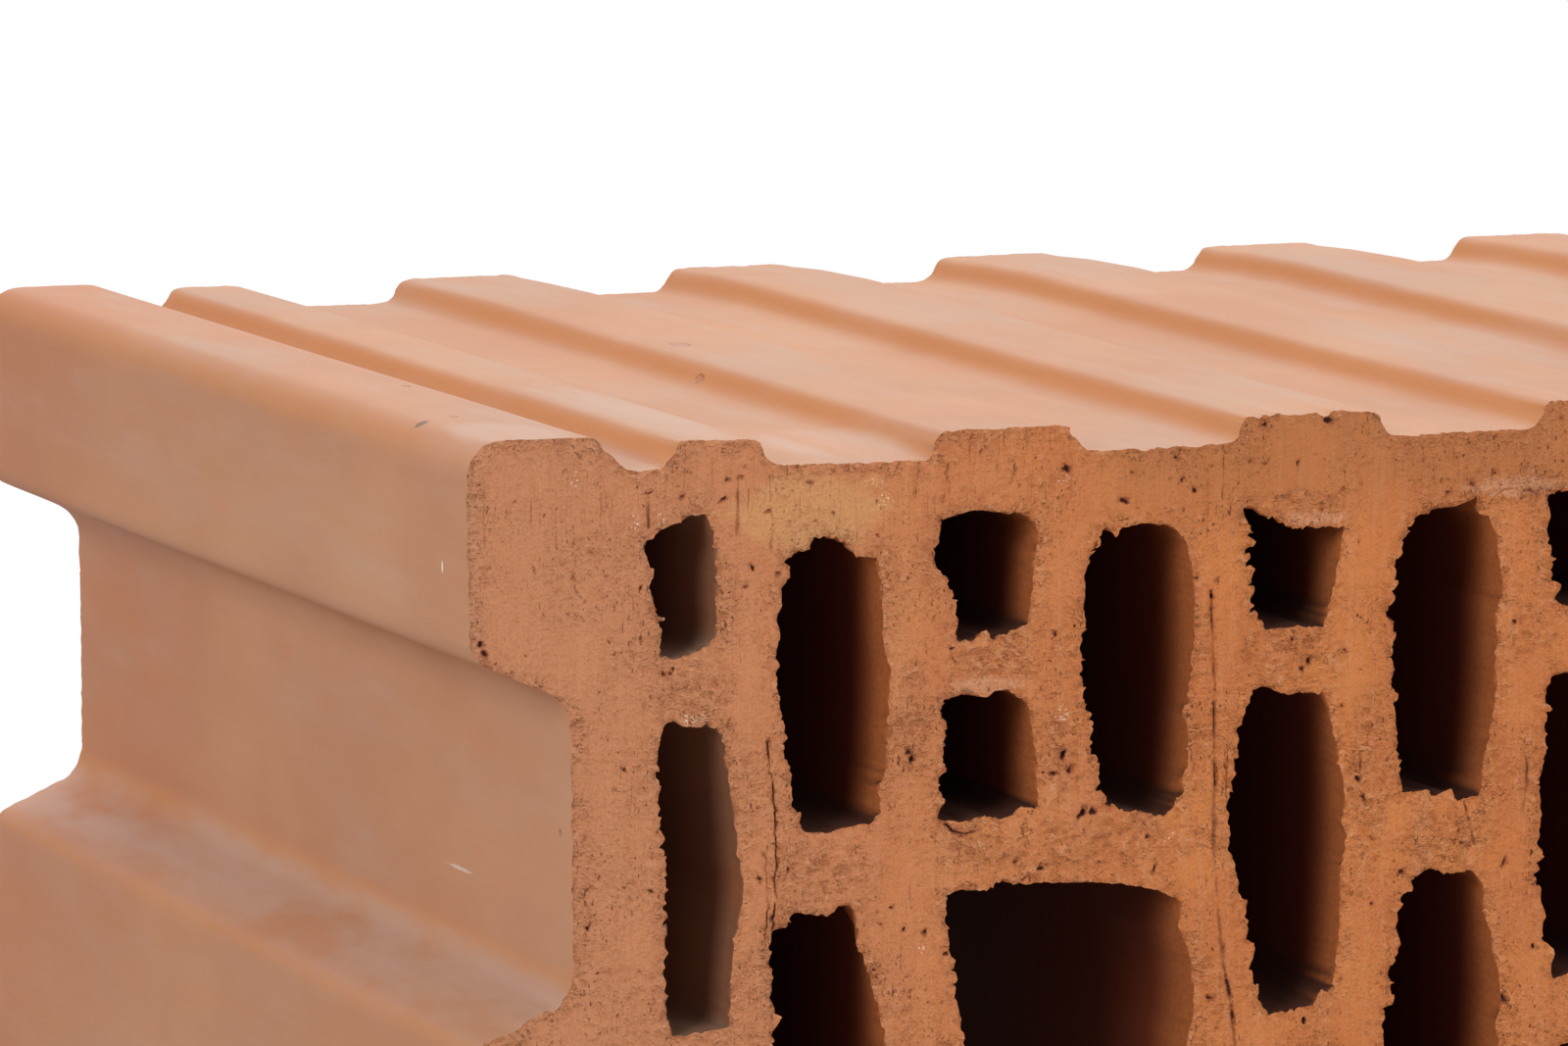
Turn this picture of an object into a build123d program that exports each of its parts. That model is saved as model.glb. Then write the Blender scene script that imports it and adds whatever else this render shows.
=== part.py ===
from build123d import *
import os

os.makedirs("parts", exist_ok=True)

# A hollow fired-clay wall block, extruded in one piece, cut to length by a wire and fired.
# It lies on one ribbed wall face. X runs along the wall, Y along the extrusion, Z through the wall.
# Sizes are in millimetres. The section's own axes start at the groove end's land, half way up.

# The block as a whole
wall_length = 373.0  # from the land of the groove end to the land of the tongue end
laid_height = 238.0  # between the two wire-cut faces
thickness = 250.0  # over the corner ridges of both wall faces

# The ribs on the two wall faces, which key the plaster
corner_rise = 1.0  # the corner ridges stand this far above the others
ridge_height = 3.7
ridge_pitch = 44.35
groove_floor = 21.7
groove_flank = 1.6  # how far a ridge's flank runs along the wall
corner_ridge_top = 17.9
corner_groove_floor = 5.0
corner_groove_flank = 4.6  # the corner ridge's own flank
narrow_ridge_least = 8.0  # least width of the narrow ridge beside the corner ridge
ridge_radius = 1.0
foot_radius = 1.5
corner_radius = 5.0

# The grooves of one end and the tongues of the other, which slide into each other
joint_depth = 54.0  # from the ridge tops down to the middle of a groove
joint_mouth = 51.4
joint_floor = 39.2
groove_depth = 14.0
joint_floor_radius = 5.0
joint_mouth_radius = 2.5
tongue_reach = 12.0
joint_clearance = 1.5

# The slots, in columns across the wall: one under each ridge and one under each groove
field_shift = 2.45  # the columns sit this far from the ridges' middle, towards the groove end
slot_end_width = 12.0
slot_bow = 2.2  # how far each long side bulges out at its middle
short_slot_width = 13.0
short_slot_bow = 0.6
slot_corner = 1.7  # cut off each corner, flat, so that the many slots have few faces

# A column under a ridge, from the ridge tops down to the middle
ridge_shell = 12.0
ridge_short_slot = 16.5
ridge_web = 9.0
ridge_long_slot = 41.5
middle_web = 7.0

# A column under a groove, from the ridge tops down to the middle
groove_shell = 14.0
groove_slot = 39.0
groove_web = 10.5
groove_inner_slot = 38.5
groove_inner_web = 9.0

# The first column, flat on the side of the end grooves
end_shell = 11.6
edge_slot_width = 9.4
edge_slot_bow = 2.9

# The two grip holes, each in place of the middle of two columns
grip_end_width = 33.7
grip_bow = 1.0
grip_web = 9.0
grip_short_web = 7.5
grip_corner_radius = 3.0
grip_column = 3  # the first of the two columns that each takes, counted from its own end

# The slot that hollows each tongue
tongue_shell = 13.0
tongue_slot_length = 30.0
tongue_slot_width = 12.0
tongue_slot_bow = 1.0

overall_length = wall_length + tongue_reach
corner_top = thickness / 2
ridge_top = corner_top - corner_rise
groove_level = ridge_top - ridge_height
joint_height = ridge_top - joint_depth
groove_mouth = groove_floor + 2 * groove_flank
corner_groove_end = corner_ridge_top + corner_groove_flank + corner_groove_floor + groove_flank

# As many grooves as the wall face takes between its two corner grooves, about its middle
groove_room = wall_length - 2 * (corner_groove_end + narrow_ridge_least) - groove_mouth
groove_count = 1 + int(groove_room // ridge_pitch)
first_groove = wall_length / 2 - (groove_count - 1) * ridge_pitch / 2

column_pitch = ridge_pitch / 2
column_count = 2 * groove_count + 1
first_column = first_groove - column_pitch - field_shift


def groove_corners(middle, floor, left_flank, right_flank, left_top, right_top):
    """The four corners of one groove in the wall face, each with its radius."""
    left, right = middle - floor / 2, middle + floor / 2
    return [
        ((left - left_flank, left_top), ridge_radius),
        ((left, groove_level), foot_radius),
        ((right, groove_level), foot_radius),
        ((right + right_flank, right_top), ridge_radius),
    ]


def long_side(side, bow, end):
    """One long side of a slot, straight or bulging out by its bow at the middle."""
    if bow == 0:
        Line((side, -end), (side, end))
    else:
        ThreePointArc((side, -end), (side + bow, 0), (side, end))


def slot(length, end_width, left_bow, right_bow, rounding=None):
    """A slot about its own centre, with flat ends and its corners cut off, or rounded to a radius."""
    end, side = length / 2, end_width / 2
    with BuildSketch() as outline:
        with BuildLine():
            Line((-side, -end), (side, -end))
            long_side(side, right_bow, end)
            Line((side, end), (-side, end))
            long_side(-side, -left_bow, end)
        make_face()
        if rounding is None:
            chamfer(outline.vertices(), slot_corner)
        else:
            fillet(outline.vertices(), rounding)
    return outline.sketch


def middles(numbers):
    """Where the middles of these columns lie, with the first column at the groove end."""
    return [first_column + (number - 1) * column_pitch for number in numbers]


# The upper half of the block's outline, from the groove end to the tongue end
corner_groove_middle = corner_ridge_top + corner_groove_flank + corner_groove_floor / 2
corners = [
    ((0, joint_height - joint_mouth / 2), joint_mouth_radius),
    ((groove_depth, joint_height - joint_floor / 2), joint_floor_radius),
    ((groove_depth, joint_height + joint_floor / 2), joint_floor_radius),
    ((0, joint_height + joint_mouth / 2), joint_mouth_radius),
    ((0, corner_top), corner_radius),
]
corners += groove_corners(
    corner_groove_middle,
    corner_groove_floor,
    corner_groove_flank,
    groove_flank,
    corner_top,
    ridge_top,
)
for number in range(groove_count):
    middle = first_groove + number * ridge_pitch
    corners += groove_corners(
        middle, groove_floor, groove_flank, groove_flank, ridge_top, ridge_top
    )
corners += groove_corners(
    wall_length - corner_groove_middle,
    corner_groove_floor,
    groove_flank,
    corner_groove_flank,
    ridge_top,
    corner_top,
)

# The tongues keep the grooves' slope and stay the clearance inside it
joint_slope = (joint_mouth - joint_floor) / 2 / groove_depth
tongue_root = joint_mouth / 2 - joint_clearance
tongue_tip = tongue_root - joint_slope * tongue_reach
corners += [
    ((wall_length, corner_top), corner_radius),
    ((wall_length, joint_height + tongue_root), joint_mouth_radius),
    ((overall_length, joint_height + tongue_tip), joint_floor_radius),
    ((overall_length, joint_height - tongue_tip), joint_floor_radius),
    ((wall_length, joint_height - tongue_root), joint_mouth_radius),
]
outline_points = [(0, 0)] + [point for point, radius in corners] + [(wall_length, 0)]
outline_radii = [radius for point, radius in corners]

# The columns by kind, apart from the edge column, and the pairs that the grip holes take
ridge_columns = range(3, column_count + 1, 2)
groove_columns = range(2, column_count, 2)
left_grip = (grip_column, grip_column + 1)
right_grip = tuple(column_count + 1 - number for number in left_grip)
gripped = left_grip + right_grip
plain_ridge_columns = [number for number in ridge_columns if number not in gripped]
plain_groove_columns = [number for number in groove_columns if number not in gripped]
gripped_ridge_columns = [number for number in ridge_columns if number in gripped]

# The heights of the slots' ends above the middle of the block
short_top = ridge_top - ridge_shell
short_end = short_top - ridge_short_slot
long_top = short_end - ridge_web
long_end = long_top - ridge_long_slot
inner_top = long_end - ridge_web
inner_end = middle_web / 2
groove_top = ridge_top - groove_shell
groove_end = groove_top - groove_slot
second_top = groove_end - groove_web
second_end = second_top - groove_inner_slot
centre_top = second_end - groove_inner_web
grip_top = groove_end - grip_web
grip_short_top = short_end - grip_short_web

# Each row of slots: its upper and lower end, its width and two bows, and its columns' middles
edge_x = groove_depth + end_shell + edge_slot_width / 2
tongue_slot_x = overall_length - tongue_shell - tongue_slot_bow - tongue_slot_width / 2
tongue_slot_top = joint_height + tongue_slot_length / 2
plain = (slot_end_width, slot_bow, slot_bow)
short = (short_slot_width, short_slot_bow, short_slot_bow)
edge = (edge_slot_width, 0, edge_slot_bow)
edge_short = (edge_slot_width, 0, 0)
tongue = (tongue_slot_width, tongue_slot_bow, tongue_slot_bow)
rows = [
    (short_top, short_end, edge_short, [edge_x]),
    (long_top, long_end, edge, [edge_x]),
    (inner_top, inner_end, edge, [edge_x]),
    (short_top, short_end, short, middles(ridge_columns)),
    (long_top, long_end, plain, middles(plain_ridge_columns)),
    (inner_top, inner_end, plain, middles(plain_ridge_columns)),
    (grip_short_top, groove_end, short, middles(gripped_ridge_columns)),
    (groove_top, groove_end, plain, middles(groove_columns)),
    (second_top, second_end, plain, middles(plain_groove_columns)),
    (tongue_slot_top, tongue_slot_top - tongue_slot_length, tongue, [tongue_slot_x]),
]
openings = []
for top, end, shape, row_middles in rows:
    height = (top + end) / 2
    places = [(x, side * height) for x in row_middles for side in (1, -1)]
    openings.append((slot(top - end, *shape), places))

# The openings that lie across the middle: a slot in each plain groove column, and the grip holes
centre_slot = slot(2 * centre_top, *plain)
openings.append((centre_slot, [(x, 0) for x in middles(plain_groove_columns)]))
grip_hole = slot(2 * grip_top, grip_end_width, grip_bow, grip_bow, grip_corner_radius)
grip_middles = [sum(middles(pair)) / 2 for pair in (left_grip, right_grip)]
openings.append((grip_hole, [(x, 0) for x in grip_middles]))

section_plane = Plane(
    origin=(-overall_length / 2, 0, thickness / 2), x_dir=(1, 0, 0), z_dir=(0, -1, 0)
)

with BuildPart() as clay_block:
    with BuildSketch(section_plane) as section:
        with BuildLine():
            FilletPolyline(*outline_points, radius=outline_radii)
            mirror(about=Plane.XZ)
        make_face()
        for shape, places in openings:
            with Locations(*places):
                add(shape, mode=Mode.SUBTRACT)
    extrude(amount=laid_height / 2, both=True)

clay_block.part.label = "clay_block"
export_step(clay_block.part, "parts/clay_block.step")
print("grooves", groove_count, "columns", column_count, "volume", round(clay_block.part.volume))
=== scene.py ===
import itertools
import math

import bpy
import numpy as np
from mathutils import Euler, Matrix, Vector
from mathutils.geometry import delaunay_2d_cdt
from mathutils.kdtree import KDTree


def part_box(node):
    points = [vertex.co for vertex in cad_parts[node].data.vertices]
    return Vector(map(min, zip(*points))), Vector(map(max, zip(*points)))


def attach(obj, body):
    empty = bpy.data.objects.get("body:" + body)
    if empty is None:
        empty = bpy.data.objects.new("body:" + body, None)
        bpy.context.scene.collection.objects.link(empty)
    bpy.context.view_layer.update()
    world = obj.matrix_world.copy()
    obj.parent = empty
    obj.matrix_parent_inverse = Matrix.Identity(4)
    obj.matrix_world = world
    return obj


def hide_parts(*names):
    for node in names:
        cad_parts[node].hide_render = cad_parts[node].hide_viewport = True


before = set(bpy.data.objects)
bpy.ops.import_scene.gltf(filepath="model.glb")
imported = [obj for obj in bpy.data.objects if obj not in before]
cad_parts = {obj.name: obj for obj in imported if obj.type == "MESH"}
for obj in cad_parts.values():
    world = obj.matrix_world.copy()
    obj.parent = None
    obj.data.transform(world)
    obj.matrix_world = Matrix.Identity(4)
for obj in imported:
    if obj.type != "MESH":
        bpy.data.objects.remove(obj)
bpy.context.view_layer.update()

# The section that the die gives the clay.
# The block is pressed through one die as an endless column, so its outline and its holes run straight
# through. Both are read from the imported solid, in mm: x from the groove end, z up from the ordinary ridges.
low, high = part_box("clay_block")
corner_rise = 1.0  # the two corner ridges stand this far above the ordinary ones
laid_height = 1000 * (high.y - low.y)  # the length that the wire cuts off the column
outline_softening = 0.6  # how far the fired clay rounds the die's sharp corners, at the front face
skin_softening = 1.15  # and further back, where the die polishes them
slot_softening = 1.0
close_bottom = -87.0  # the cut is seen from close by down to here
close_right = 159.0  # and to the right up to here
close_top = 262.0  # the ribbed top is seen from close by up to here
ribs_above = -8.0  # what lies above this height belongs to the ribbed top
close_blend = 14.0  # the spacing widens over this length
close_step, far_step = 0.56, 2.4  # spacing of points along the outlines


def die_outlines(mesh):
    """The outlines of the front face, chained from the triangle edges that no other triangle shares. Every
    edge has the clay on its left, so the outline runs one way round and the holes run the other."""
    place = np.empty(3 * len(mesh.vertices))
    mesh.vertices.foreach_get("co", place)
    place = place.reshape(-1, 3)
    section = 1000 * np.column_stack([place[:, 0] - low.x, place[:, 2] - high.z])
    section[:, 1] += corner_rise
    spots, same = np.unique(section.round(3), axis=0, return_inverse=True)
    mesh.calc_loop_triangles()
    corners = np.empty(3 * len(mesh.loop_triangles), np.int32)
    mesh.loop_triangles.foreach_get("vertices", corners)
    corners = corners.reshape(-1, 3)
    in_front = np.abs(place[:, 1] - low.y) < 1e-6
    corners = same.ravel()[corners[in_front[corners].all(axis=1)]]
    edges = np.concatenate([corners[:, [0, 1]], corners[:, [1, 2]], corners[:, [2, 0]]])
    there = edges[:, 0] * len(spots) + edges[:, 1]
    back = edges[:, 1] * len(spots) + edges[:, 0]
    following = dict(edges[~np.isin(there, back)].tolist())
    outlines = []
    while following:
        first, step = following.popitem()
        chain = [first]
        while step != first:
            chain.append(step)
            step = following.pop(step)
        outlines.append(spots[chain])
    return outlines


def step_at(x, z):
    """The spacing of points: close in the part that is seen from close by, then widening to the far one."""
    beyond = np.maximum(x - np.where(z > ribs_above, close_top, close_right), close_bottom - z) / close_blend
    return close_step + (far_step - close_step) * np.clip(beyond, 0, 1)


def walk(outline, softenings, grain=0.05):
    """The outline at even counts of steps, once for each softening: it is divided by the grain, blurred along
    its length by a bell curve as wide as the softening, and cut where the sum of length over step reaches
    each half share. All take their cuts from the first, so that their points belong together."""
    closed = np.vstack([outline, outline[:1]])
    reach = np.concatenate([[0], np.cumsum(np.hypot(*np.diff(closed, axis=0).T))])
    count = int(reach[-1] / grain)
    at = np.arange(count) * reach[-1] / count
    fine = np.column_stack([np.interp(at, reach, closed[:, 0]), np.interp(at, reach, closed[:, 1])])
    waves = np.fft.fftfreq(count, reach[-1] / count) * 2 * math.pi
    bells = [np.exp(-((waves * softening) ** 2) / 2)[:, None] for softening in softenings]
    blurred = [np.fft.ifft(np.fft.fft(fine, axis=0) * bell, axis=0).real for bell in bells]
    steps = np.concatenate([[0], np.cumsum(reach[-1] / count / step_at(*blurred[0].T))])
    shares = int(math.ceil(steps[-1]))
    spot = np.interp(np.arange(0, 2 * shares) / (2 * shares) * steps[-1], steps, np.arange(count + 1))
    numbers = np.arange(count + 1)
    closed = [np.vstack([line, line[:1]]) for line in blurred]
    return [np.column_stack([np.interp(spot, numbers, line[:, axis]) for axis in (0, 1)]) for line in closed]


def to_air(outline):
    """Unit normals that point out of the clay, a quarter turn to the right of the outline's way."""
    along = np.roll(outline, -1, axis=0) - np.roll(outline, 1, axis=0)
    return np.column_stack([along[:, 1], -along[:, 0]]) / np.hypot(*along.T)[:, None]


outlines = die_outlines(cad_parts["clay_block"].data)
outlines.sort(key=lambda points: -np.ptp(points[:, 0]))
outer, skin_outline = walk(outlines[0], [outline_softening, skin_softening])
die = [outer] + [walk(points, [slot_softening])[0] for points in outlines[1:]]
is_close = [points[:, 0].min() < close_right and points[:, 1].max() > close_bottom for points in die]


# The torn edges of the cut face.
# A taut wire cuts the wet column. It drags grit through the thin webs and tears crumbs out of every hole's
# edge. The edges near the top left corner are drawn one by one, and the others tear at random in the same
# way.
tear_depth = 13.0  # below that the hole has the die's shape again, apart from what wide tears leave


def value_noise(points, size, seed):
    """A smooth random field from -1 to 1. Each corner of a lattice of that size has a random value, hashed
    from its place, and a point takes the mean of the corners round it, weighted by 3t^2 - 2t^3 along each
    axis. A seed only has to differ from the others."""
    scaled = points / np.asarray(size, float)
    cell = np.floor(scaled).astype(np.int64)
    t = scaled - cell
    t = t * t * (3 - 2 * t)
    total = np.zeros(len(points))
    for corner in itertools.product((0, 1), repeat=points.shape[1]):
        spot = cell + corner
        mixed = seed * 7919 + 40503
        for axis in range(points.shape[1]):
            mixed = (mixed ^ spot[:, axis]) * 2654435761 & 0xFFFFFFFF
            mixed = mixed ^ mixed >> 15
        total += np.prod(np.where(corner, t, 1 - t), axis=1) * ((mixed & 0xFFFF) / 32767.5 - 1)
    return total


hand_tears = [
    # Edge column: the small slot with its slanting top, and the long one below it
    [(24.5, -14), (26.8, -12), (29.3, -11.2), (31, -10.2), (33.3, -10), (34, -12), (34.5, -15),
     (34.6, -20), (34.6, -26), (33.8, -27.4), (31.5, -28.6), (28.8, -29.2), (27, -28.9), (26.2, -27.2),
     (26.7, -24.4), (25.6, -21.2), (25.1, -19.2), (26.2, -17.9), (25.2, -16.2)],
    [(27, -38.6), (27.1, -37.7), (28.4, -37.4), (29.6, -38.3), (31.7, -38.4), (33, -38.1), (34.8, -39),
     (35.5, -41), (36, -45), (36.8, -50), (37.3, -55), (38.2, -60), (37.9, -63), (36.9, -67), (36.6, -70),
     (36.2, -75), (36, -79), (27.9, -80), (27.2, -77), (27, -70), (27.2, -65), (27.2, -58), (26.7, -54),
     (26.4, -50), (26.2, -41.5), (26.5, -40)],
    # Second column
    [(44.6, -16.9), (45.6, -16.1), (47.7, -15.2), (48.2, -14), (49.4, -13.6), (51.2, -13.9), (53, -15.4),
     (54.8, -16.8), (56, -16.5), (57.3, -17.6), (57.9, -20), (58.2, -26), (58.2, -29), (59.2, -32),
     (58.9, -38), (58.6, -45), (58, -47.4), (56.8, -47.9), (57.8, -49), (57.7, -51), (56.7, -52.7),
     (54, -52.9), (50.3, -53.6), (47, -53.6), (46.2, -51.6), (45.2, -49.6), (44.9, -45), (44, -42.5),
     (43.6, -39), (43.2, -34), (42.9, -30), (43.7, -26.4), (43.1, -25), (43.9, -21), (44.9, -19),
     (44.4, -17.6)],
    [(42.3, -66.5), (44.5, -65.9), (45.3, -63.9), (46.6, -64.3), (50, -65), (51.6, -63.9), (52.4, -63.2),
     (54.2, -64.6), (54.7, -66.4), (53.7, -68.2), (54, -69.6), (55, -70.8), (56, -73), (57, -77),
     (57.9, -81), (58.3, -84), (41.8, -84), (42.1, -81), (42.9, -78.4), (42, -76), (41.7, -72),
     (41.7, -68.6)],
    # Third column: two small slots, then the grip hole that it shares with the fourth
    [(66.5, -12.3), (69, -11.8), (71, -11.3), (73, -11.5), (78.3, -12.1), (80.2, -13.6), (80.5, -16),
     (79.6, -18), (79.5, -21), (79.2, -25), (78.8, -27), (76.5, -27.7), (74.9, -28.3), (72, -28.5),
     (69, -28.9), (68.3, -28.5), (68.9, -26), (68.2, -23), (67.4, -20), (66.1, -19.6), (65.5, -17),
     (66, -14)],
    [(66.6, -36.6), (68.4, -36.5), (69.3, -36.1), (72.9, -36.6), (74.3, -35.6), (75.6, -35.6),
     (77.4, -36.8), (78.8, -37.7), (79.3, -40), (79.8, -44), (80.1, -48), (80.4, -51.5), (79.6, -52.4),
     (78, -51.5), (76.6, -52.7), (74.8, -53.3), (73.2, -53), (72.4, -52.5), (70.8, -52.8), (69, -53.4),
     (66.7, -53), (65.6, -52.6), (66.9, -50.2), (65.8, -48.6), (66.8, -45.5), (66.6, -42.4),
     (67.4, -40.6), (66.4, -39.4)],
    # Fourth column
    [(87, -21), (88, -17.8), (89.6, -15.5), (91.4, -15.4), (92.5, -14.4), (95.5, -14.2), (99.3, -14.6),
     (101.3, -16.4), (102.2, -19), (102.9, -24), (102.9, -30), (102.2, -36), (102, -39), (101, -39.6),
     (101.9, -42), (102.1, -46), (101.8, -47.8), (100.9, -49.2), (101.1, -51), (100, -52.6), (98.5, -54),
     (95, -53.4), (92.5, -52.8), (90, -51.9), (89.8, -50.8), (88.7, -50.1), (89.2, -47.4), (88.6, -45.4),
     (87.5, -45), (88.1, -41), (87.1, -38.8), (86.6, -35), (86.4, -31), (87, -26)],
    [(66.9, -63), (69, -62.4), (72, -62.7), (75, -61.8), (79, -62.1), (86, -62.4), (92, -62.9),
     (95, -63.6), (98.4, -64.3), (99.6, -65.3), (100.9, -66), (100.6, -68), (100.3, -69.2), (101.7, -72),
     (102.5, -75), (102.8, -79), (102.6, -81), (103.4, -84), (69, -84), (69.2, -80.2), (68.2, -79),
     (68, -75), (67.9, -71.8), (67.2, -70), (66.9, -67), (66.9, -65)],
    # Fifth column
    [(109.7, -12.8), (110.4, -12.5), (111.9, -12.9), (112.8, -14.1), (114.4, -14.2), (116.3, -15.4),
     (118.6, -15.9), (121, -15.4), (123.9, -16.1), (125.3, -15.6), (124.3, -17.6), (124, -20),
     (123.2, -24), (122.3, -28), (121.6, -29.6), (117.5, -29.2), (113.2, -29.4), (112.4, -28),
     (111.2, -27), (111.1, -24), (111.4, -21.4), (110.3, -20.2), (110.9, -18), (111, -15)],
    [(110.2, -40.3), (111, -38.2), (111.9, -37.4), (114, -37.2), (115.8, -38.4), (119, -38.1),
     (121.8, -38.7), (122.6, -41), (123.4, -45), (124.4, -50), (124.9, -54), (124.2, -56.5), (125.2, -58),
     (124.4, -62), (124.2, -68), (123.8, -74), (122.9, -78.9), (121.2, -79.3), (120.4, -80.8),
     (118.6, -81.3), (117.3, -81.8), (113.2, -82), (111.9, -80), (111.9, -78), (110.9, -77),
     (110.9, -74.4), (111.6, -72.6), (110.2, -71.6), (110.3, -66.2), (109.3, -65.9), (109, -63.4),
     (108.6, -61), (107.8, -59), (107.7, -54), (108.6, -48), (109.6, -42)],
    # Sixth column
    [(133.5, -18.6), (134.6, -15.6), (136.6, -15), (138, -14.2), (140.8, -14), (143.3, -13.3),
     (145, -12.2), (144.2, -15), (146, -15.4), (147.2, -18), (147.8, -22), (148.2, -26), (147.2, -28.5),
     (147.1, -30.6), (147.3, -32), (147, -34), (147.2, -38), (146.9, -42), (146.2, -46), (145.3, -49),
     (145, -53.6), (143, -54.2), (141.4, -54.6), (140.4, -52.6), (137.6, -53.8), (136.2, -52.8),
     (133.2, -52.8), (132.7, -49), (132.4, -44), (132, -40), (131.9, -36.4), (131.4, -34), (132.4, -30),
     (131.2, -28.6), (131.8, -26), (132.4, -22)],
    [(133.4, -67), (134.8, -66.4), (135.1, -64.2), (137.6, -63.4), (139.8, -64.2), (143.8, -64),
     (144.8, -65.2), (145.6, -68), (145.4, -70), (146.4, -72.6), (147, -76), (147.8, -80), (148, -83),
     (146.9, -85), (147.6, -88), (130.6, -88), (130.2, -84), (130.6, -82), (131.8, -81.8), (131.6, -77),
     (132.6, -75), (133.2, -73.4), (132.3, -71)],
    # Seventh column, where only the left edges are seen
    [(154.6, -13.2), (156.6, -12.4), (158, -12.6), (158, -27), (156.8, -26.8), (156.6, -25),
     (155.4, -24.6), (155.8, -22), (155, -19), (154.8, -16)],
    [(154.7, -40), (155.4, -38), (158, -37.4), (158, -80), (155.6, -80), (155.4, -78), (156, -76),
     (154, -74), (154.6, -71), (153.5, -67), (153.4, -63), (153.9, -56), (153.6, -52), (155.2, -46.6),
     (153.8, -46), (155, -44)],
]


def layered_noise(points, layers, seed):
    """The sum of noise of several sizes: layers lists each one's strength and size."""
    fields = [strength * value_noise(points, size, seed + i) for i, (strength, size) in enumerate(layers)]
    return sum(fields)


def smoothed(edge, repeats):
    """A closed edge without its small notches: each point takes a quarter of both neighbours, repeatedly."""
    for repeat in range(repeats):
        edge = (np.roll(edge, 1, axis=0) + 2 * edge + np.roll(edge, -1, axis=0)) / 4
    return edge


def drawn_tear(outline, hand):
    """The drawn edge at the outline's own points. Both are read by their direction from the hole's middle,
    with its length drawn in to its width. Past the part seen from close by, the die's edge stays."""
    middle = (outline.min(axis=0) + outline.max(axis=0)) / 2
    half = np.ptp(outline, axis=0) / 2
    unseen = outline[(outline[:, 0] > close_right - 1) | (outline[:, 1] < hand[:, 1].min())]
    closed = np.vstack([hand, hand[:1]])
    corners, along = np.arange(len(closed)), np.arange(0, len(hand), 0.02)
    edge = np.column_stack([np.interp(along, corners, closed[:, axis]) for axis in (0, 1)])
    if len(unseen):
        edge = edge[(edge[:, 0] < close_right - 1) & (edge[:, 1] > hand[:, 1].min() + 0.1)]
    edge = np.vstack([edge, unseen])
    turn = np.arctan2(*((edge - middle) / half).T[::-1])
    order = np.argsort(turn)
    edge, turn = edge[order], turn[order]
    wanted = np.arctan2(*((outline - middle) / half).T[::-1])
    torn = [np.interp(wanted, turn, edge[:, axis], period=2 * math.pi) for axis in (0, 1)]
    return smoothed(np.column_stack(torn), 1)


def random_tear(outline, seed):
    """The outline moved along its normals by noise of two sizes, most at the ends of a slot."""
    middle = (outline.min(axis=0) + outline.max(axis=0)) / 2
    half = np.ptp(outline, axis=0) / 2
    at_end = np.clip(np.abs(outline[:, 1] - middle[1]) / half[1], 0, 1) ** 4
    push = (0.45 + 0.75 * at_end) * layered_noise(outline, [(0.75, 7.0), (0.45, 2.6)], seed)
    return outline + to_air(outline) * (push - 0.1)[:, None]


def at_depth(section, depth):
    """The section's points (x, z) as points (x, depth, z)."""
    return np.column_stack([section[:, 0], np.broadcast_to(depth, len(section)), section[:, 1]])


def crumbs(outline, depth, seed):
    """How far the torn edge is shoved about, in mm along X and Z: ridged noise, whose rounded lumps meet in
    sharp clefts, with finer crumbs on them, in clusters, and more on edges that face right, which the wire
    leaves last."""
    spots = at_depth(outline, depth)
    shoves = []
    for axis in (0, 1):
        lumps = 0.42 * (np.abs(value_noise(spots, 2.2, seed + axis)) - 0.3)
        lumps += 0.52 * (np.abs(value_noise(spots, 0.95, seed + axis + 2)) - 0.3)
        shoves.append(lumps + 0.28 * value_noise(spots, 0.5, seed + axis + 4))
    clusters = np.clip(0.72 + layered_noise(spots, [(0.8, 8.0), (0.7, 2.8)], seed + 6), 0.12, 1.5)[:, None]
    return np.column_stack(shoves) * clusters * (1.0 + 0.4 * to_air(outline)[:, :1])


def untangle(ring, tries=12, longest_loop=22):
    """The ring without loops. Two of its runs, p + t u and q + s v, cross where t and s both lie from 0 to 1.
    Then the points between them are set on the straight line from the one before to the one after."""
    count = len(ring)
    for repeat in range(tries):
        run = np.roll(ring, -1, axis=0) - ring
        loops = []
        for steps in range(2, min(longest_loop, count // 4)):
            gap, other = np.roll(ring, -steps, axis=0) - ring, np.roll(run, -steps, axis=0)
            area = run[:, 0] * other[:, 1] - run[:, 1] * other[:, 0] + 1e-12
            t = (gap[:, 0] * other[:, 1] - gap[:, 1] * other[:, 0]) / area
            s = (gap[:, 0] * run[:, 1] - gap[:, 1] * run[:, 0]) / area
            crossed = (np.abs(t - 0.5) < 0.53) & (np.abs(s - 0.5) < 0.53)  # a little past both ends as well
            loops += [(start, steps + 1) for start in np.flatnonzero(crossed).tolist()]
        if not loops:
            break
        for start, steps in loops:
            share = np.arange(steps + 1)[:, None] / steps
            first, last = ring[start].copy(), ring[(start + steps) % count].copy()
            ring[(start + np.arange(steps + 1)) % count] = first + share * (last - first)
    return ring


# Chips along the outer arris, as x, z, half width and how far they go in
arris_chips = [
    (122, 0, 1.2, 0.7), (112.3, -0.4, 0.8, 0.5), (117.5, 0, 2.2, 0.2), (128.6, -0.2, 1.6, 0.25),
    (64.2, -3, 1.0, 0.4), (85.6, -1.2, 0.9, 0.5), (28.8, -1.4, 1.4, 0.4), (19.2, -0.8, 0.9, 0.3),
    (135.4, -3.3, 2.0, 0.3), (0.9, -27.6, 1.4, 0.6), (4.4, -75.6, 3.0, 0.7), (11.4, -74.6, 1.2, 0.5),
    (96, -3.9, 1.6, 0.25),
]


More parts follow.
